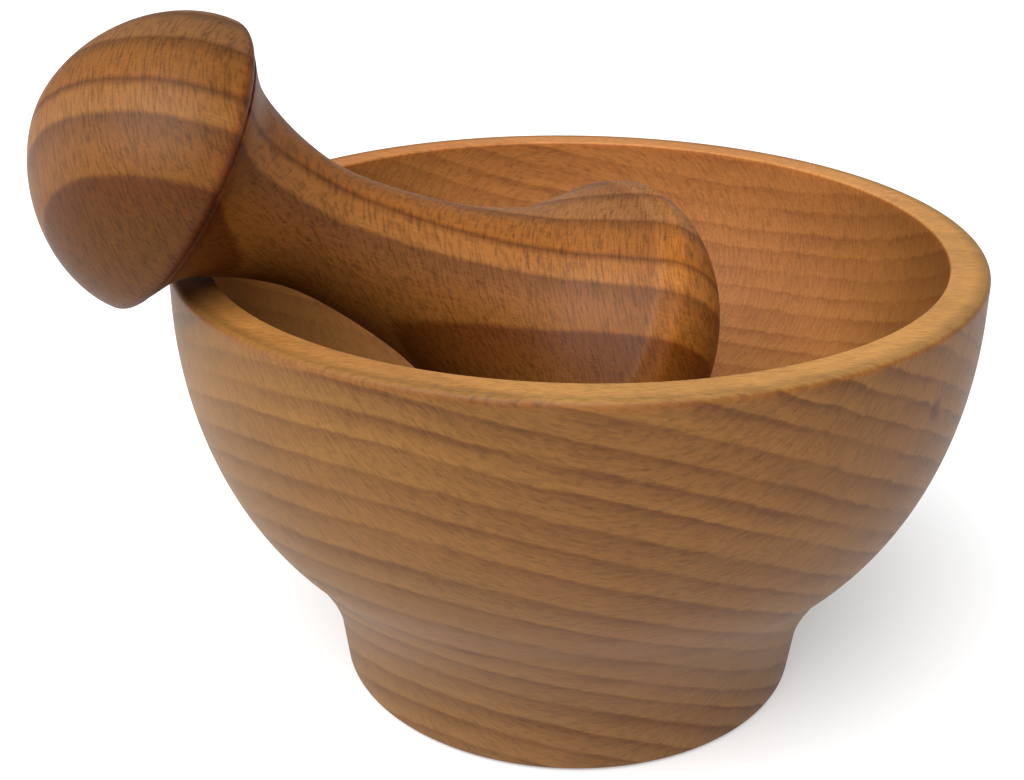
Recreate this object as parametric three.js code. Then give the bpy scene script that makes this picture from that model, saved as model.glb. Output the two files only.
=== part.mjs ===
// A wooden nut mortar: a bowl turned on a foot, and a loose pounder that leans in it.
// Millimetres, +Z up. The origin is the centre of the foot's underside, on the bowl's axis.
import * as THREE from "three";

// Driving dimensions of the bowl.
const RIM_RADIUS = 70;
const RIM_WALL = 6.6;
const BOWL_HEIGHT = 82.2;
const HOLLOW_DEPTH = 51.1;
const HOLLOW_FULLNESS = 2.3; // exponent of the hollow's superellipse: 2 is an ellipse, more is fuller
const RIM_OUTER_ROUND = 1.1;
const RIM_INNER_ROUND = 0.5;
const BELLY = { centreRadius: 31.6, centreHeight: 75.5, halfWidth: 38.4, halfHeight: 56.3 };
const BELLY_LOW_HEIGHT = 29.1; // the belly's ellipse ends here, and the sweep into the foot begins

// Driving dimensions of the foot.
const FOOT = { baseRadius: 42.9, neckRadius: 44.8, neckHeight: 17.2, sideHeight: 8.2 };
const FOOT_EDGE = { width: 1.9, height: 1.1 };

// Driving dimensions of the pounder, heights along its own axis from the widest ring of its striking end.
const STRIKER = { radius: 31.4, domeHeight: 23.5, ridgeHeight: 3.7, ridgeRadius: 29.8 };
const GROOVE = { height: 77.8, radius: 21.8, width: 0.6 };
const KNOB = { radius: 24.2, height: 21.7, fullness: 1.8, edgeRound: 1.7 };

// The pounder's waist, as (radius, height) points of one smooth curve from the striking end to the groove.
const WAIST = [
  [STRIKER.ridgeRadius, STRIKER.ridgeHeight],
  [25.0, 9.3],
  [18.8, 17.6],
  [13.7, 31.5],
  [10.9, 49.5],
  [12.1, 61.0],
  [16.4, 71.8],
  [22.2, GROOVE.height - GROOVE.width],
];

// How the pounder leans: the striking end stands in the middle of the hollow, and the waist lies on the rim.
// The two solids keep 0.3 mm clear of each other at the floor of the hollow, and 0.5 mm at the rim.
const LEAN_ELEVATION = 30.4;
const LEAN_AZIMUTH = 205;
const STRIKER_CENTRE = new THREE.Vector3(-1.1, 3.3, 61.12);

const BOWL_SEGMENTS = 60;
const POUNDER_SEGMENTS = 44;
const SHORTEST_STEP = 0.02; // profile points closer than this are one point

const ELLIPSE = 2; // the superellipse exponent that makes a plain ellipse
const BOWL_BEECH = new THREE.MeshStandardMaterial({ color: 0xa9713f, roughness: 0.55, metalness: 0 });
const POUNDER_BEECH = new THREE.MeshStandardMaterial({ color: 0xa0622f, roughness: 0.5, metalness: 0 });

// Stretch of a superellipse between two angles in degrees: 0 lies along the radius, 90 along the axis.
function arc(centre, halfWidth, halfHeight, exponent, from, to, steps) {
  const signedPower = (value) => Math.sign(value) * Math.abs(value) ** (2 / exponent);
  return Array.from({ length: steps + 1 }, (_, i) => {
    const angle = THREE.MathUtils.degToRad(THREE.MathUtils.lerp(from, to, i / steps));
    const radius = centre[0] + halfWidth * signedPower(Math.cos(angle));
    const height = centre[1] + halfHeight * signedPower(Math.sin(angle));
    return new THREE.Vector2(radius, height);
  });
}

// A solid of revolution about +Z, from a profile of (radius, height) points that starts and ends on the axis.
function turned(profile, segments) {
  const points = profile.filter((p, i) => i === 0 || p.distanceTo(profile[i - 1]) > SHORTEST_STEP);
  const geometry = new THREE.LatheGeometry(points, segments);
  geometry.rotateX(Math.PI / 2);
  return geometry;
}

// The belly, from the top of the sweep into the foot up to the bowl's full width.
function bellyProfile() {
  const sine = (BELLY_LOW_HEIGHT - BELLY.centreHeight) / BELLY.halfHeight;
  const from = THREE.MathUtils.radToDeg(Math.asin(sine));
  const centre = [BELLY.centreRadius, BELLY.centreHeight];
  return arc(centre, BELLY.halfWidth, BELLY.halfHeight, ELLIPSE, from, 0, 11);
}

// The foot, from the middle of its underside round its lower edge and up its slightly flared side.
function footProfile() {
  const edgeCentre = [FOOT.baseRadius - FOOT_EDGE.width, FOOT_EDGE.height];
  const edge = arc(edgeCentre, FOOT_EDGE.width, FOOT_EDGE.height, ELLIPSE, -90, 0, 4);
  const share = FOOT.sideHeight / FOOT.neckHeight;
  const sideRadius = THREE.MathUtils.lerp(FOOT.baseRadius, FOOT.neckRadius, share);
  return [new THREE.Vector2(0, 0), ...edge, new THREE.Vector2(sideRadius, FOOT.sideHeight)];
}

// The concave sweep that joins the top of the foot's side to the belly.
function neckProfile(sideTop, bellyLow) {
  const neck = new THREE.Vector2(FOOT.neckRadius, FOOT.neckHeight);
  return new THREE.QuadraticBezierCurve(sideTop, neck, bellyLow).getPoints(10);
}

// The flat rim with its two rounded edges, from the outside to the mouth.
function rimProfile() {
  const outer = [RIM_RADIUS - RIM_OUTER_ROUND, BOWL_HEIGHT - RIM_OUTER_ROUND];
  const inner = [RIM_RADIUS - RIM_WALL + RIM_INNER_ROUND, BOWL_HEIGHT - RIM_INNER_ROUND];
  return [
    ...arc(outer, RIM_OUTER_ROUND, RIM_OUTER_ROUND, ELLIPSE, 0, 90, 3),
    ...arc(inner, RIM_INNER_ROUND, RIM_INNER_ROUND, ELLIPSE, 90, 180, 2),
  ];
}

// The hollow, from the mouth down to the middle of its floor.
function hollowProfile() {
  const mouth = [0, BOWL_HEIGHT - RIM_INNER_ROUND];
  const radius = RIM_RADIUS - RIM_WALL;
  return arc(mouth, radius, HOLLOW_DEPTH - RIM_INNER_ROUND, HOLLOW_FULLNESS, 0, -90, 14);
}

function bowlProfile() {
  const foot = footProfile();
  const belly = bellyProfile();
  return [...foot, ...neckProfile(foot.at(-1), belly[0]), ...belly, ...rimProfile(), ...hollowProfile()];
}

// The pounder, from the tip of its striking dome to the top of its knob.
function pounderProfile() {
  const dome = arc([0, 0], STRIKER.radius, STRIKER.domeHeight, ELLIPSE, -90, 0, 10);
  const waist = new THREE.SplineCurve(WAIST.map(([r, z]) => new THREE.Vector2(r, z))).getPoints(21);
  const groove = new THREE.Vector2(GROOVE.radius, GROOVE.height);
  const knobBase = GROOVE.height + KNOB.edgeRound;
  const edgeCentre = [KNOB.radius - KNOB.edgeRound, knobBase];
  const edge = arc(edgeCentre, KNOB.edgeRound, KNOB.edgeRound, ELLIPSE, -70, 0, 3);
  const knob = arc([0, knobBase], KNOB.radius, KNOB.height, KNOB.fullness, 0, 90, 11);
  return [...dome, ...waist, groove, ...edge, ...knob];
}

function makeBowl() {
  const bowl = new THREE.Mesh(turned(bowlProfile(), BOWL_SEGMENTS), BOWL_BEECH);
  bowl.name = "mortar_bowl";
  return bowl;
}

function makePounder() {
  const pounder = new THREE.Mesh(turned(pounderProfile(), POUNDER_SEGMENTS), POUNDER_BEECH);
  pounder.name = "pounder";
  pounder.position.copy(STRIKER_CENTRE);
  const tilt = THREE.MathUtils.degToRad(90 - LEAN_ELEVATION);
  pounder.rotation.set(0, tilt, THREE.MathUtils.degToRad(LEAN_AZIMUTH), "ZYX");
  return pounder;
}

const mortar = new THREE.Group();
mortar.add(makeBowl(), makePounder());

export default mortar;
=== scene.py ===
"""A beech nut mortar with a loose pounder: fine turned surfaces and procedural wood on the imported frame.

Metres, +Z up, in the frame of the CAD model. The origin is the centre of the foot's underside.
"""

import math

import bpy
import numpy as np
from mathutils import Matrix, Vector


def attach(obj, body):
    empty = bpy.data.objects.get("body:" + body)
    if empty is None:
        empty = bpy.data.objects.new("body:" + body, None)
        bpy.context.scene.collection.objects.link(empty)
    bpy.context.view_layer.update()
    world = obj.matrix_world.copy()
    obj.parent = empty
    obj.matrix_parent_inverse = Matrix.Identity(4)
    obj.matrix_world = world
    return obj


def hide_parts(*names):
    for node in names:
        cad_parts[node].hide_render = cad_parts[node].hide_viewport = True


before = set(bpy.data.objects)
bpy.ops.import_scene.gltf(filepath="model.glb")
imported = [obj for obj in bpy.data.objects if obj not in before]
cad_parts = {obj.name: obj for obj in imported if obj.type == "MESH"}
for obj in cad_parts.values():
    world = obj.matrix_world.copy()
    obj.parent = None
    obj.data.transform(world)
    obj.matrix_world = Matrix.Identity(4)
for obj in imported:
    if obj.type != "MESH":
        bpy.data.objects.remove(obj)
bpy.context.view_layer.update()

MM = 0.001

# The bowl's shape, in millimetres.
RIM_RADIUS = 70.0
RIM_WALL = 6.6
BOWL_HEIGHT = 82.2
HOLLOW_DEPTH = 51.1
HOLLOW_FULLNESS = 2.3
RIM_OUTER_ROUND = 1.1
RIM_INNER_ROUND = 0.5
BELLY_CENTRE = (31.6, 75.5)
BELLY_HALF = (38.4, 56.3)
BELLY_LOW_HEIGHT = 29.1
FOOT_BASE_RADIUS = 42.9
FOOT_NECK = (44.8, 17.2)
FOOT_SIDE_HEIGHT = 8.2
FOOT_EDGE = (1.9, 1.1)

# The pounder's shape, in millimetres along its own axis from the widest ring of its striking end.
STRIKER_RADIUS = 31.4
STRIKER_DOME = 23.5
RIDGE = (29.8, 3.7)
RIDGE_ROUND = 0.5
GROOVE = (21.8, 77.8)
GROOVE_WIDTH = 0.6
KNOB_RADIUS = 24.2
KNOB_HEIGHT = 21.7
KNOB_FULLNESS = 1.8
KNOB_EDGE_ROUND = 1.7
WAIST = [
    RIDGE,
    (25.0, 9.3),
    (18.8, 17.6),
    (13.7, 31.5),
    (10.9, 49.5),
    (12.1, 61.0),
    (16.4, 71.8),
    (22.2, GROOVE[1] - GROOVE_WIDTH),
]

# How the pounder leans: degrees above the horizon and round from +X, and the middle of its widest ring in mm.
LEAN_ELEVATION = 30.4
LEAN_AZIMUTH = 205.0
STRIKER_CENTRE = (-1.1, 3.3, 61.12)

# How fine the turned surfaces are: parts of a full turn, and the longest step along the outline in mm.
BOWL_SEGMENTS = 360
BOWL_STEP = 1.6
POUNDER_SEGMENTS = 280
POUNDER_STEP = 1.2

SAME_PLACE = 0.001  # two points of an outline closer than this, in mm, are one
ELLIPSE = 2.0  # the superellipse exponent of a plain ellipse


# ---------------------------------------------------------------- turned shapes


def arc(centre, half, exponent, start, end, steps):
    """Points of a superellipse between two angles in degrees: 0 lies along the radius, 90 along the axis."""
    angle = np.radians(np.linspace(start, end, steps + 1))
    share = 2.0 / exponent
    radius = centre[0] + half[0] * np.sign(np.cos(angle)) * np.abs(np.cos(angle)) ** share
    height = centre[1] + half[1] * np.sign(np.sin(angle)) * np.abs(np.sin(angle)) ** share
    return np.column_stack([radius, height])


def bezier(a, b, c, steps):
    """A quadratic curve from a to c that leans towards b."""
    t = np.linspace(0.0, 1.0, steps + 1)[:, None]
    return (1 - t) ** 2 * np.array(a) + 2 * t * (1 - t) * np.array(b) + t**2 * np.array(c)


def smooth_curve(points, steps):
    """The uniform Catmull-Rom curve through points, with the same number of steps in each span."""
    p = np.array([points[0], *points, points[-1]], float)
    t = np.linspace(0.0, 1.0, steps, endpoint=False)[:, None]
    spans = []
    for a, b, c, d in zip(p, p[1:], p[2:], p[3:]):
        slope_b = 0.5 * (c - a)
        slope_c = 0.5 * (d - b)
        cubic = 2 * b - 2 * c + slope_b + slope_c
        square = -3 * b + 3 * c - 2 * slope_b - slope_c
        spans.append(cubic * t**3 + square * t**2 + slope_b * t + b)
    return np.vstack([*spans, p[-1:]])


def resampled(profile, spacing):
    """The profile with its points at most spacing apart, and none on top of another."""
    points = [profile[0]]
    for end in profile[1:]:
        start = points[-1]
        gap = float(np.hypot(*(end - start)))
        if gap < SAME_PLACE:
            continue
        count = max(1, math.ceil(gap / spacing))
        points.extend(start + (end - start) * k / count for k in range(1, count + 1))
    return np.array(points)


def bowl_profile():
    """The bowl's outline, from the middle of its underside over the rim to the middle of its hollow."""
    edge_centre = (FOOT_BASE_RADIUS - FOOT_EDGE[0], FOOT_EDGE[1])
    edge = arc(edge_centre, FOOT_EDGE, ELLIPSE, -90, 0, steps=8)
    share = FOOT_SIDE_HEIGHT / FOOT_NECK[1]
    side_radius = FOOT_BASE_RADIUS + (FOOT_NECK[0] - FOOT_BASE_RADIUS) * share
    side_top = (side_radius, FOOT_SIDE_HEIGHT)
    low = math.degrees(math.asin((BELLY_LOW_HEIGHT - BELLY_CENTRE[1]) / BELLY_HALF[1]))
    belly = arc(BELLY_CENTRE, BELLY_HALF, ELLIPSE, low, 0, steps=60)
    sweep = bezier(side_top, FOOT_NECK, belly[0], steps=36)
    outer = (RIM_RADIUS - RIM_OUTER_ROUND, BOWL_HEIGHT - RIM_OUTER_ROUND)
    inner = (RIM_RADIUS - RIM_WALL + RIM_INNER_ROUND, BOWL_HEIGHT - RIM_INNER_ROUND)
    rim = np.vstack([
        arc(outer, (RIM_OUTER_ROUND, RIM_OUTER_ROUND), ELLIPSE, 0, 90, steps=8),
        arc(inner, (RIM_INNER_ROUND, RIM_INNER_ROUND), ELLIPSE, 90, 180, steps=6),
    ])
    mouth = (0.0, BOWL_HEIGHT - RIM_INNER_ROUND)
    hollow_half = (RIM_RADIUS - RIM_WALL, HOLLOW_DEPTH - RIM_INNER_ROUND)
    hollow = arc(mouth, hollow_half, HOLLOW_FULLNESS, 0, -90, steps=90)
    return resampled(np.vstack([[(0, 0)], edge, [side_top], sweep, belly, rim, hollow]), BOWL_STEP)


def rounded(before, corner, after, reach):
    """A small round in place of a corner, reach millimetres long on each side."""
    corner = np.array(corner)
    ends = []
    for side in (before, after):
        step = np.array(side) - corner
        ends.append(corner + step * reach / np.hypot(*step))
    return bezier(ends[0], corner, ends[1], steps=5)


def pounder_profile():
    """The pounder's outline, from the tip of its striking dome to the top of its knob."""
    dome = arc((0, 0), (STRIKER_RADIUS, STRIKER_DOME), ELLIPSE, -90, 0, steps=60)
    waist = smooth_curve(WAIST, steps=14)[5:]  # the first steps give way to the ridge's round
    ridge = rounded(dome[-1], RIDGE, waist[0], RIDGE_ROUND)
    knob_base = GROOVE[1] + KNOB_EDGE_ROUND
    edge_centre = (KNOB_RADIUS - KNOB_EDGE_ROUND, knob_base)
    edge = arc(edge_centre, (KNOB_EDGE_ROUND, KNOB_EDGE_ROUND), ELLIPSE, -70, 0, steps=8)
    knob = arc((0, knob_base), (KNOB_RADIUS, KNOB_HEIGHT), KNOB_FULLNESS, 0, 90, steps=70)
    return resampled(np.vstack([dome, ridge, waist, [GROOVE], edge, knob]), POUNDER_STEP)


def turned(name, profile, segments):
    """A closed mesh of revolution about +Z, in metres, from a profile that starts and ends on the axis."""
    rings = profile[1:-1]
    angle = np.linspace(0.0, 2 * math.pi, segments, endpoint=False)
    radius = rings[:, :1]
    x = radius * np.cos(angle)
    y = radius * np.sin(angle)
    z = np.repeat(rings[:, 1:], segments, axis=1)
    body = np.stack([x, y, z], axis=-1).reshape(-1, 3)
    ends = np.array([[0, 0, profile[0][1]], [0, 0, profile[-1][1]]])
    vertices = np.vstack([body, ends]) * MM
    count = len(rings)
    here = np.arange(segments)
    after = (here + 1) % segments
    faces = []
    for k in range(count - 1):
        ring = k * segments
        above = ring + segments
        faces.extend(zip(ring + here, ring + after, above + after, above + here))
    first = count * segments
    last = first + 1
    top = (count - 1) * segments
    faces.extend((first, j, i) for i, j in zip(here, after))
    faces.extend((last, top + i, top + j) for i, j in zip(here, after))
    mesh = bpy.data.meshes.new(name)
    mesh.from_pydata(vertices.tolist(), [], [tuple(int(corner) for corner in face) for face in faces])
    mesh.validate()
    mesh.shade_smooth()
    piece = bpy.data.objects.new(name, mesh)
    bpy.context.scene.collection.objects.link(piece)
    return piece


def lean():
    """Where the pounder lies: its own +Z runs from its striking end to its knob."""
    turn = Matrix.Rotation(math.radians(LEAN_AZIMUTH), 4, "Z")
    tilt = Matrix.Rotation(math.radians(90 - LEAN_ELEVATION), 4, "Y")
    return Matrix.Translation(Vector(STRIKER_CENTRE) * MM) @ turn @ tilt


# ---------------------------------------------------------------- shader building


class Graph:
    """Short ways to add nodes to one material. Apart from put, each returns one or more output sockets."""

    def __init__(self, material):
        material.use_nodes = True
        self.tree = material.node_tree
        self.shader = self.tree.nodes["Principled BSDF"]

    def put(self, socket, value):
        """Links a socket to another node's output, or sets it to a constant."""
        if isinstance(value, bpy.types.NodeSocket):
            self.tree.links.new(value, socket)
        else:
            socket.default_value = value

    def coordinates(self):
        """The point on the piece, in metres."""
        return self.tree.nodes.new("ShaderNodeTexCoord").outputs["Object"]

    def math(self, operation, *values, clamp=False):
        node = self.tree.nodes.new("ShaderNodeMath")
        node.operation = operation
        node.use_clamp = clamp
        for socket, value in zip(node.inputs, values):
            self.put(socket, value)
        return node.outputs[0]

    def vector(self, operation, *values):
        node = self.tree.nodes.new("ShaderNodeVectorMath")
        node.operation = operation
        for socket, value in zip(node.inputs, values):
            self.put(socket, value)
        scalar = operation in ("DOT_PRODUCT", "LENGTH")
        return node.outputs["Value" if scalar else "Vector"]

    def scaled(self, vector, factor):
        node = self.tree.nodes.new("ShaderNodeVectorMath")
        node.operation = "SCALE"
        self.put(node.inputs[0], vector)
        self.put(node.inputs["Scale"], factor)
        return node.outputs["Vector"]

    def combined(self, x, y, z):
        node = self.tree.nodes.new("ShaderNodeCombineXYZ")
        for socket, value in zip(node.inputs, (x, y, z)):
            self.put(socket, value)
        return node.outputs[0]

    def separated(self, vector):
        node = self.tree.nodes.new("ShaderNodeSeparateXYZ")
        self.put(node.inputs[0], vector)
        return node.outputs

    def noise(self, vector, detail=2.0, roughness=0.5):
        """Smooth noise from 0 to 1 with a grain of one unit of vector."""
        node = self.tree.nodes.new("ShaderNodeTexNoise")
        self.put(node.inputs["Vector"], vector)
        node.inputs["Scale"].default_value = 1.0
        node.inputs["Detail"].default_value = detail
        node.inputs["Roughness"].default_value = roughness
        return node.outputs[0]

    def noise_along(self, value):
        """Smooth noise from 0 to 1 along one number."""
        node = self.tree.nodes.new("ShaderNodeTexNoise")
        node.noise_dimensions = "1D"
        self.put(node.inputs["W"], value)
        node.inputs["Scale"].default_value = 1.0
        node.inputs["Detail"].default_value = 1.0
        return node.outputs[0]

    def millimetres(self):
        """The point on the piece, in millimetres."""
        return self.scaled(self.coordinates(), 1.0 / MM)

    def random(self, value):
        """A different number from 0 to 1 for each whole value."""
        node = self.tree.nodes.new("ShaderNodeTexWhiteNoise")
        node.noise_dimensions = "1D"
        self.put(node.inputs["W"], value)
        return node.outputs["Value"]

    def colours(self, value, stops):
        """A colour read off a ramp of (position, colour) stops."""
        node = self.tree.nodes.new("ShaderNodeValToRGB")
        ramp = node.color_ramp
        while len(ramp.elements) < len(stops):
            ramp.elements.new(0.5)
        for element, (position, colour) in zip(ramp.elements, stops):
            element.position = position
            element.color = (*colour, 1.0)
        self.put(node.inputs[0], value)
        return node.outputs[0]

    def ramp(self, value, stops):
        """A grey level read off straight lines through (position, level) stops."""
        return self.colours(value, [(position, (level, level, level)) for position, level in stops])

    def mix(self, share, a, b):
        """The colour a where share is 0, and b where it is 1."""
        node = self.tree.nodes.new("ShaderNodeMix")
        node.data_type = "RGBA"
        self.put(node.inputs["Factor"], share)
        colour_sockets = node.inputs[6:8]
        for socket, colour in zip(colour_sockets, (a, b)):
            self.put(socket, (*colour, 1.0) if isinstance(colour, tuple) else colour)
        return node.outputs[2]

    def tint(self, colour, share, factors):
        """The colour multiplied by factors where share is 1, and unchanged where it is 0."""
        return self.vector("MULTIPLY", colour, self.mix(share, (1.0, 1.0, 1.0), factors))

    def plus(self, base, offset, amount):
        """base with amount times offset added."""
        return self.math("ADD", base, self.math("MULTIPLY", offset, amount))

    def remap(self, value, from_low, from_high, to_low, to_high):
        """The value carried from one range to another, and held at the range's ends."""
        node = self.tree.nodes.new("ShaderNodeMapRange")
        for socket, number in zip(node.inputs, (value, from_low, from_high, to_low, to_high)):
            self.put(socket, number)
        return node.outputs[0]

    def rise(self, value, low, high):
        """0 up to low, 1 from high on, and a straight line between."""
        return self.remap(value, low, high, 0.0, 1.0)

    def fall(self, value, low, high):
        """1 up to low, 0 from high on, and a straight line between."""
        return self.remap(value, low, high, 1.0, 0.0)

    def bump(self, height, depth):
        """The surface normal over a relief that is depth metres deep."""
        node = self.tree.nodes.new("ShaderNodeBump")
        node.inputs["Strength"].default_value = 1.0
        node.inputs["Distance"].default_value = depth
        self.put(node.inputs["Height"], height)
        return node.outputs[0]


# ---------------------------------------------------------------- beech


def stretched(g, place, sizes):
    """Coordinates in millimetres divided by a feature's size in each direction."""
    return g.vector("MULTIPLY", place, tuple(1.0 / size for size in sizes))


def slanted(g, grain, degrees):
    """Grain coordinates turned in the plane of the growth layers."""
    across, beside, along = g.separated(grain)[:3]
    cosine = math.cos(math.radians(degrees))
    sine = math.sin(math.radians(degrees))
    turned_beside = g.math("ADD", g.math("MULTIPLY", beside, cosine), g.math("MULTIPLY", along, sine))
    turned_along = g.math("SUBTRACT", g.math("MULTIPLY", along, cosine), g.math("MULTIPLY", beside, sine))
    return g.combined(across, turned_beside, turned_along)


# Sizes of the wood's features in millimetres across the growth layers, beside the fibres and along them.
FIBRE_SIZE = (0.45, 0.45, 9.0)
PORE_SIZE = (0.16, 0.16, 1.3)
SLASH_SIZE = (3.0, 0.34, 2.2)
CLOUD_SIZE = (16.0, 16.0, 34.0)

ROUGHNESS = (0.42, 0.56)  # in the dark and in the pale fibres
RELIEF_DEPTH = 0.06 * MM
RAY_SHIFT = (7.0, 3.0, 11.0)  # keeps the rays apart from the pores, which come from the same noise


def beech(name, grain_of, look):
    """Oiled beech.

    grain_of gives the grain coordinates in millimetres. look holds the functions for the growth layers and
    for the oil's tints with painted light and shade, the strength of each feature, the size of a ray, the
    slant of the slashes and the gloss.
    """
    material = bpy.data.materials.new(name)
    g = Graph(material)
    grain = grain_of(g)
    layers = look["layers"](g, grain)

    fibres = g.noise(stretched(g, grain, FIBRE_SIZE), 3.0, 0.6)
    pores = g.noise(stretched(g, grain, PORE_SIZE), 1.0)
    rays = g.noise(stretched(g, g.vector("ADD", grain, RAY_SHIFT), look["ray_size"]), 1.0)
    slashes = g.noise(stretched(g, slanted(g, grain, look["slant"]), SLASH_SIZE), 1.0)
    clouds = g.noise(stretched(g, grain, CLOUD_SIZE))

    level = g.plus(1.0, g.remap(fibres, 0.3, 0.7, -1.0, 1.0), look["fibre"])
    level = g.plus(level, g.remap(clouds, 0.3, 0.7, -1.0, 1.0), look["cloud"])
    level = g.plus(level, g.rise(rays, 0.55, 0.68), -look["ray"])
    level = g.plus(level, g.rise(slashes, 0.47, 0.64), -look["slash"])
    level = g.plus(level, g.rise(pores, 0.55, 0.70), -look["pore"])
    colour = g.vector("MULTIPLY", layers, g.combined(level, level, level))
    g.put(g.shader.inputs["Base Color"], look["finish_and_light"](g, colour))

    g.put(g.shader.inputs["Roughness"], g.remap(fibres, 0.3, 0.7, *ROUGHNESS))
    g.shader.inputs["Specular IOR Level"].default_value = look["gloss"]
    relief = g.plus(g.math("MULTIPLY", fibres, 0.5), pores, 0.3)
    g.put(g.shader.inputs["Normal"], g.bump(relief, RELIEF_DEPTH))
    return material


def frame_axes(across, along):
    """Unit vectors across the growth layers, beside the fibres and along them."""
    normal = Vector(across).normalized()
    fibre = Vector(along)
    fibre = (fibre - normal * fibre.dot(normal)).normalized()
    return normal, fibre.cross(normal), fibre


# The bowl is cut from a plank with nearly flat growth layers. They dip away from the viewer and to the right.
BOWL_ACROSS, BOWL_BESIDE, BOWL_ALONG = frame_axes((0.2066, 0.4119, 0.8875), (1.0, 0.0, -0.23))
BOWL_PITCH = 4.08  # mean thickness of a growth layer in mm
BOWL_FIRST = 52.0  # distance of one layer's edge from the origin in mm


def bowl_grain(g):
    """Millimetres across, beside and along the grain, on straight layers."""
    place = g.millimetres()
    axes = (BOWL_ACROSS, BOWL_BESIDE, BOWL_ALONG)
    return g.combined(*[g.vector("DOT_PRODUCT", place, tuple(axis)) for axis in axes])


# How large the places are where growth layers stray from their course: mm across, beside and along.
WANDER_SIZE = (45.0, 30.0, 45.0)
JAG_SIZE = (4.0, 2.5, 7.0)


def wandered(g, grain, depth, large, small):
    """The depth in mm with a slow wander, large mm from end to end, and a fine jaggedness, small mm."""
    slow = g.noise(stretched(g, grain, WANDER_SIZE))
    fine = g.noise(stretched(g, grain, JAG_SIZE), 2.0, 0.6)
    depth = g.plus(depth, g.math("SUBTRACT", slow, 0.5), large)
    return g.plus(depth, g.math("SUBTRACT", fine, 0.5), small)


def bowl_growth(g, grain):
    """Growth layers counted downwards: the whole part is the layer, and each starts with a dark edge."""
    across = g.separated(grain)[0]
    x = g.separated(g.millimetres())[0]
    depth = wandered(g, grain, across, 2.2, g.remap(x, 15.0, 60.0, 0.8, 2.2))
    uneven = g.noise_along(g.math("DIVIDE", depth, 9.0))
    depth = g.plus(depth, g.math("SUBTRACT", uneven, 0.5), 3.0)
    return g.math("DIVIDE", g.math("SUBTRACT", BOWL_FIRST, depth), BOWL_PITCH)


def hollow_share(g):
    """1 on the wall and floor of the hollow, 0 on the outside of the bowl."""
    reach = RIM_RADIUS - RIM_WALL
    from_mouth = g.vector("SUBTRACT", g.millimetres(), (0.0, 0.0, BOWL_HEIGHT))
    share = stretched(g, from_mouth, (reach, reach, HOLLOW_DEPTH))
    return g.fall(g.vector("DOT_PRODUCT", share, share), 1.12, 1.18)


# Colours of the bowl's growth layers, and how dark a layer is from its upper edge, 0, to the next layer, 1.
PALE_LAYER = (0.184, 0.077, 0.0175)
DULL_LAYER = (0.165, 0.068, 0.0155)
LAYER_EDGE = (0.104, 0.038, 0.009)
EDGE_DARKNESS = [(0.0, 0.7), (0.08, 1.0), (0.26, 0.60), (0.55, 0.28), (0.86, 0.0), (0.96, 0.05), (1.0, 0.7)]
FADING_SIZE = (26.0, 26.0, 7.0)  # of the stretches where the layers' lines fade, in mm
# Painted bounce light from the floor: the tint below turns the layers paler and pinker towards the foot.
FOOT_BOUNCE_LIGHT_TINT = (1.0, 1.08, 1.45)  # factors of red, green and blue


def bowl_layers(g, grain):
    """Dark at a layer's upper edge and paler below. Each line comes and goes along its length."""
    growth = bowl_growth(g, grain)
    place = g.millimetres()
    x, _, height = g.separated(place)[:3]
    fading = g.noise(stretched(g, place, FADING_SIZE), 2.0, 0.6)
    dark = g.ramp(g.math("FRACT", growth), EDGE_DARKNESS)
    dark = g.math("MULTIPLY", dark, g.remap(fading, 0.3, 0.7, 0.40, 1.25))
    dark = g.math("MULTIPLY", dark, g.remap(height, BOWL_HEIGHT - 1.0, BOWL_HEIGHT - 0.3, 1.0, 0.3))
    dark = g.math("MULTIPLY", dark, g.remap(x, -65.0, -20.0, 0.6, 1.0))
    dark = g.math("MULTIPLY", dark, g.remap(hollow_share(g), 0.0, 1.0, 1.0, 0.55), clamp=True)
    pale = g.mix(g.random(g.math("FLOOR", growth)), PALE_LAYER, DULL_LAYER)
    # Painted bounce light: paler and pinker towards the foot.
    pale = g.tint(pale, g.fall(height, 10.0, 75.0), FOOT_BOUNCE_LIGHT_TINT)
    return g.mix(dark, pale, LAYER_EDGE)


KNOT_PLACE = (54.6, -43.5, 70.1)  # a small dark pin knot on the right-hand side
KNOT_SIZE = (2.0, 2.0, 2.4)

# What the finish and painted light do to the wood, as factors of red, green and blue. The hollow, left side
# and rim top tints are painted light.
KNOT_TINT = (0.62, 0.50, 0.48)
# Painted light: the hollow is painted lighter, the back wall most.
HOLLOW_FRONT_LIGHT_TINT = (1.50, 1.42, 1.42)
HOLLOW_BACK_LIGHT_TINT = (1.84, 1.62, 1.85)
# Painted light and sheen: the left side is painted paler and lighter.
LEFT_SIDE_LIGHT_TINT = (1.14, 1.25, 1.14)
RIM_EDGE_TINT = (1.10, 0.98, 0.82)
# Painted light on the rim's upward face, stronger on the right.
RIM_TOP_LEFT_LIGHT_TINT = (1.10, 1.26, 1.45)
RIM_TOP_RIGHT_LIGHT_TINT = (1.36, 1.86, 2.70)


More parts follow.
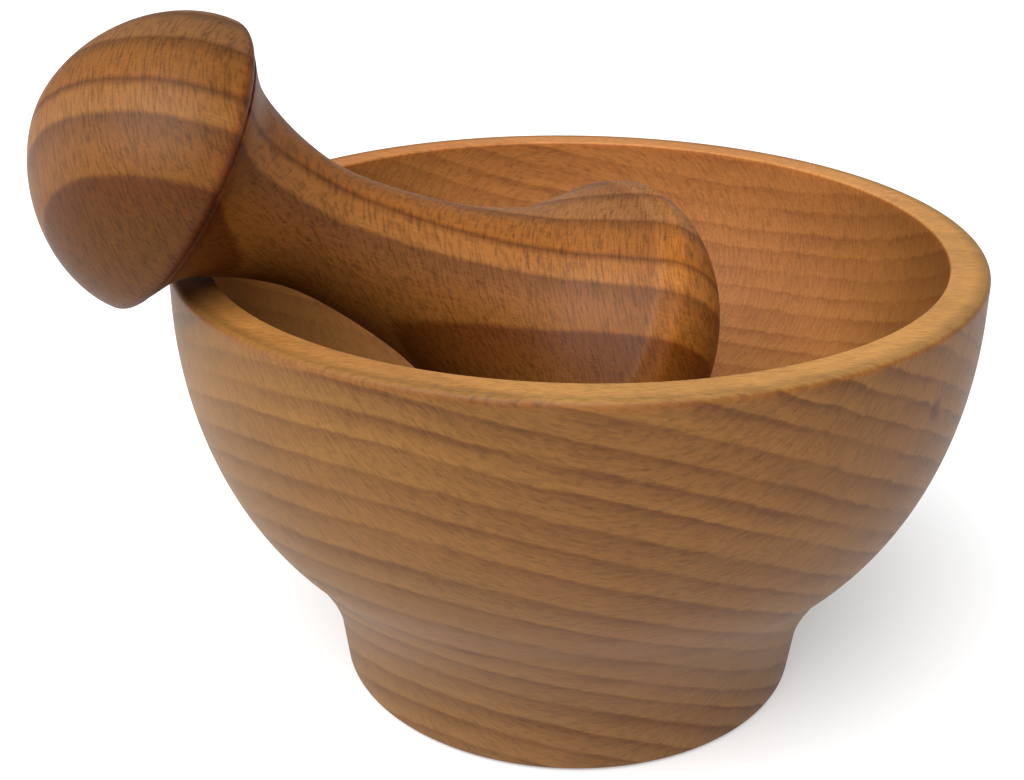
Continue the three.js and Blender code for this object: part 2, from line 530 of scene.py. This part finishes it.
def bowl_finish_and_light(g, colour):
    """Painted light: the hollow, most of all at the back, the rim's top and the left side are painted
    lighter. The rim's outer edge is ruddy.
    """
    place = g.millimetres()
    x, y, height = g.separated(place)[:3]
    # Painted light: the hollow is painted lighter, the back wall most.
    hollow_light_tint = g.mix(g.rise(y, 10.0, 60.0), HOLLOW_FRONT_LIGHT_TINT, HOLLOW_BACK_LIGHT_TINT)
    colour = g.tint(colour, hollow_share(g), hollow_light_tint)
    from_knot = stretched(g, g.vector("SUBTRACT", place, KNOT_PLACE), KNOT_SIZE)
    colour = g.tint(colour, g.fall(g.vector("LENGTH", from_knot), 0.5, 1.0), KNOT_TINT)
    edge = g.rise(height, BOWL_HEIGHT - 2.0, BOWL_HEIGHT - 0.6)
    # Painted light and sheen on the left side, away from the rim's edge.
    left = g.fall(x, -65.0, 5.0)
    lit_left_side = g.math("MULTIPLY", left, g.math("SUBTRACT", 1.0, edge))
    colour = g.tint(colour, lit_left_side, LEFT_SIDE_LIGHT_TINT)
    colour = g.tint(colour, edge, RIM_EDGE_TINT)
    # Painted light: the rim's upward face is painted paler, less so at the back, most on the right.
    top = g.rise(height, BOWL_HEIGHT - 0.5, BOWL_HEIGHT - 0.05)
    top = g.math("MULTIPLY", top, g.remap(y, 20.0, 60.0, 1.0, 0.60))
    return g.tint(colour, top, g.mix(left, RIM_TOP_RIGHT_LIGHT_TINT, RIM_TOP_LEFT_LIGHT_TINT))


# The pounder is cut near the heart of its plank: its growth layers curve round a line outside it.
POUNDER_HEART = (55.63, 66.04, 43.51)
POUNDER_ALONG = Vector((0.0954, -0.0404, 0.9946)).normalized()
POUNDER_BESIDE = Vector((0.77, -0.64, 0.0)).normalized()


def pounder_place(g):
    """Millimetres in the pounder's own frame, whose +Z runs from its striking end to its knob."""
    away = g.vector("SUBTRACT", g.millimetres(), STRIKER_CENTRE)
    axes = lean().to_3x3().transposed()
    return g.combined(*[g.vector("DOT_PRODUCT", away, tuple(axis)) for axis in axes])


def pounder_grain(g):
    """Millimetres from the heart, round it and along it."""
    place = g.vector("SUBTRACT", pounder_place(g), POUNDER_HEART)
    along = g.vector("DOT_PRODUCT", place, tuple(POUNDER_ALONG))
    out = g.vector("SUBTRACT", place, g.scaled(tuple(POUNDER_ALONG), along))
    beside = g.vector("DOT_PRODUCT", out, tuple(POUNDER_BESIDE))
    return g.combined(g.vector("LENGTH", out), beside, along)


# The pounder's growth layers by distance from the heart in mm. Each starts pale at its inner side and darkens
# outwards to a sharp edge.
POUNDER_COLOURS = [
    (46.0, (0.145, 0.075, 0.019)),
    (60.0, (0.168, 0.059, 0.011)),
    (68.0, (0.122, 0.038, 0.005)),
    (73.4, (0.104, 0.027, 0.003)),
    (74.0, (0.203, 0.070, 0.011)),
    (78.0, (0.203, 0.070, 0.015)),
    (82.0, (0.143, 0.049, 0.013)),
    (82.8, (0.289, 0.109, 0.025)),
    (86.2, (0.275, 0.100, 0.022)),
    (87.6, (0.132, 0.040, 0.007)),
    (88.4, (0.252, 0.084, 0.014)),
    (93.0, (0.233, 0.080, 0.015)),
    (95.7, (0.141, 0.049, 0.011)),
    (96.5, (0.239, 0.096, 0.030)),
    (101.0, (0.211, 0.084, 0.025)),
    (103.5, (0.132, 0.047, 0.013)),
    (104.3, (0.230, 0.091, 0.028)),
    (109.0, (0.203, 0.078, 0.022)),
    (111.0, (0.132, 0.047, 0.013)),
    (111.8, (0.221, 0.088, 0.025)),
    (126.0, (0.195, 0.075, 0.021)),
]


def pounder_layers(g, grain):
    """The colour of the growth layer that a point is in."""
    inner = POUNDER_COLOURS[0][0]
    outer = POUNDER_COLOURS[-1][0]
    depth = wandered(g, grain, g.separated(grain)[0], 1.6, 0.7)
    stops = [((distance - inner) / (outer - inner), colour) for distance, colour in POUNDER_COLOURS]
    return g.colours(g.rise(depth, inner, outer), stops)


# What the finish and painted light and shade do to the wood, as factors of red, green and blue. The crease
# and knob tints are painted shade, the ridge tint a painted highlight.
# Painted shade in the crease under the knob.
CREASE_SHADE_TINT = (0.58, 0.36, 0.20)
# Painted highlight along the ridge.
RIDGE_HIGHLIGHT_TINT = (1.15, 1.17, 1.25)
BESIDE_RIDGE_TINT = (0.86, 0.82, 0.80)
DOME_TINT = (1.30, 1.24, 1.0)
# Painted shade over the whole knob.
KNOB_SHADE_TINT = (0.71, 0.74, 0.70)

CREASE_HEIGHT = GROOVE[1] - 0.1  # in mm along the pounder


def pounder_finish_and_light(g, colour):
    """Painted shade in the crease under the knob and over the whole knob, a painted highlight along the
    ridge, a darker band just beside it, and paler on the dome.
    """
    height = g.separated(pounder_place(g))[2]
    from_crease = g.math("ABSOLUTE", g.math("SUBTRACT", height, CREASE_HEIGHT))
    from_ridge = g.math("ABSOLUTE", g.math("SUBTRACT", height, RIDGE[1]))
    beside_ridge = g.ramp(g.rise(height, RIDGE[1], 10.0), [(0.0, 0.0), (0.20, 1.0), (1.0, 0.0)])
    # Painted shade in the crease under the knob.
    colour = g.tint(colour, g.fall(from_crease, 0.3, 3.0), CREASE_SHADE_TINT)
    # Painted highlight along the ridge.
    colour = g.tint(colour, g.fall(from_ridge, 0.2, 0.9), RIDGE_HIGHLIGHT_TINT)
    colour = g.tint(colour, beside_ridge, BESIDE_RIDGE_TINT)
    colour = g.tint(colour, g.fall(height, 1.0, RIDGE[1]), DOME_TINT)
    # Painted shade: the whole knob is painted darker.
    return g.tint(colour, g.rise(height, GROOVE[1], GROOVE[1] + 4.0), KNOB_SHADE_TINT)


# ---------------------------------------------------------------- the object


# What differs between the wood of the two pieces: fibre to slash say how strongly each feature shows.
BOWL_LOOK = {
    "layers": bowl_layers,
    "finish_and_light": bowl_finish_and_light,
    "fibre": 0.10,
    "cloud": 0.06,
    "pore": 0.12,
    "ray": 0.13,
    "ray_size": (4.0, 0.22, 1.3),
    "slash": 0.15,
    "slant": 0.0,
    "gloss": 0.18,
}
POUNDER_LOOK = {
    "layers": pounder_layers,
    "finish_and_light": pounder_finish_and_light,
    "fibre": 0.10,
    "cloud": 0.06,
    "pore": 0.12,
    "ray": 0.18,
    "ray_size": (6.0, 0.30, 1.0),
    "slash": 0.27,
    "slant": 35.0,
    "gloss": 0.15,
}

bowl = turned("turned_bowl", bowl_profile(), BOWL_SEGMENTS)
bowl.data.materials.append(beech("beech_bowl", bowl_grain, BOWL_LOOK))
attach(bowl, "bowl")
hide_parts("mortar_bowl")

pounder = turned("turned_pounder", pounder_profile(), POUNDER_SEGMENTS)
pounder.data.transform(lean())
pounder.data.materials.append(beech("beech_pounder", pounder_grain, POUNDER_LOOK))
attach(pounder, "pounder")
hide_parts("pounder")


# ---------------------------------------------------------------- camera, floor and light


# The camera's lens in mm, its place and target in metres, and its roll in degrees.
CAMERA_LENS = 52.73
CAMERA_PLACE = Vector((0.0, -0.2510, 0.16515))
CAMERA_TARGET = Vector((-0.0111, 0.0, 0.0523))
CAMERA_ROLL = 0.23


def add_camera():
    data = bpy.data.cameras.new("camera")
    data.lens = CAMERA_LENS
    data.sensor_width = 36.0
    data.clip_start = 0.01
    camera = bpy.data.objects.new("camera", data)
    aim = (CAMERA_TARGET - CAMERA_PLACE).to_track_quat("-Z", "Y").to_matrix().to_4x4()
    roll = Matrix.Rotation(math.radians(CAMERA_ROLL), 4, "Z")
    camera.matrix_world = Matrix.Translation(CAMERA_PLACE) @ aim @ roll
    bpy.context.scene.collection.objects.link(camera)
    bpy.context.scene.camera = camera


FLOOR_HALF_WIDTH = 60.0  # in metres, so that it reaches the horizon
FLOOR_DROP = 0.2 * MM
FLOOR_COLOUR = (0.66, 0.66, 0.66, 1.0)
FLOOR_GLOW = 0.26  # keeps the shadows on the floor pale


def add_floor():
    mesh = bpy.data.meshes.new("floor")
    half = FLOOR_HALF_WIDTH
    corners = [(-half, -half, 0), (half, -half, 0), (half, half, 0), (-half, half, 0)]
    mesh.from_pydata(corners, [], [(0, 1, 2, 3)])
    floor = bpy.data.objects.new("floor", mesh)
    floor.location.z = -FLOOR_DROP
    material = bpy.data.materials.new("pale_floor")
    material.use_nodes = True
    shader = material.node_tree.nodes["Principled BSDF"]
    shader.inputs["Base Color"].default_value = FLOOR_COLOUR
    shader.inputs["Roughness"].default_value = 0.9
    shader.inputs["Specular IOR Level"].default_value = 0.1
    shader.inputs["Emission Color"].default_value = (1.0, 1.0, 1.0, 1.0)
    shader.inputs["Emission Strength"].default_value = FLOOR_GLOW
    mesh.materials.append(material)
    bpy.context.scene.collection.objects.link(floor)


def add_panel(name, place, target, size, watts):
    """A square soft light that faces the target."""
    data = bpy.data.lights.new(name, "AREA")
    data.shape = "SQUARE"
    data.size = size
    data.energy = watts
    data.specular_factor = 0.5
    light = bpy.data.objects.new(name, data)
    facing = (Vector(target) - Vector(place)).to_track_quat("-Z", "Y").to_matrix().to_4x4()
    light.matrix_world = Matrix.Translation(Vector(place)) @ facing
    bpy.context.scene.collection.objects.link(light)


def add_sun(name, towards, spread, strength):
    """A broad even light from far away. spread is how wide it looks from the object, in degrees."""
    data = bpy.data.lights.new(name, "SUN")
    data.angle = math.radians(spread)
    data.energy = strength
    light = bpy.data.objects.new(name, data)
    light.matrix_world = Vector(towards).to_track_quat("Z", "Y").to_matrix().to_4x4()
    bpy.context.scene.collection.objects.link(light)


def add_world(strength):
    """Even white light from all round."""
    world = bpy.data.worlds.new("studio")
    world.use_nodes = True
    background = world.node_tree.nodes["Background"]
    background.inputs["Color"].default_value = (1.0, 1.0, 1.0, 1.0)
    background.inputs["Strength"].default_value = strength
    bpy.context.scene.world = world


add_camera()
add_floor()
add_sun("key", towards=(-0.20, -0.58, 0.80), spread=60.0, strength=5.0)
add_panel("left_panel", place=(-0.75, -0.05, 0.30), target=(0, 0, 0.05), size=0.6, watts=2.5)
add_world(strength=0.34)
bpy.context.scene.view_settings.view_transform = "Standard"
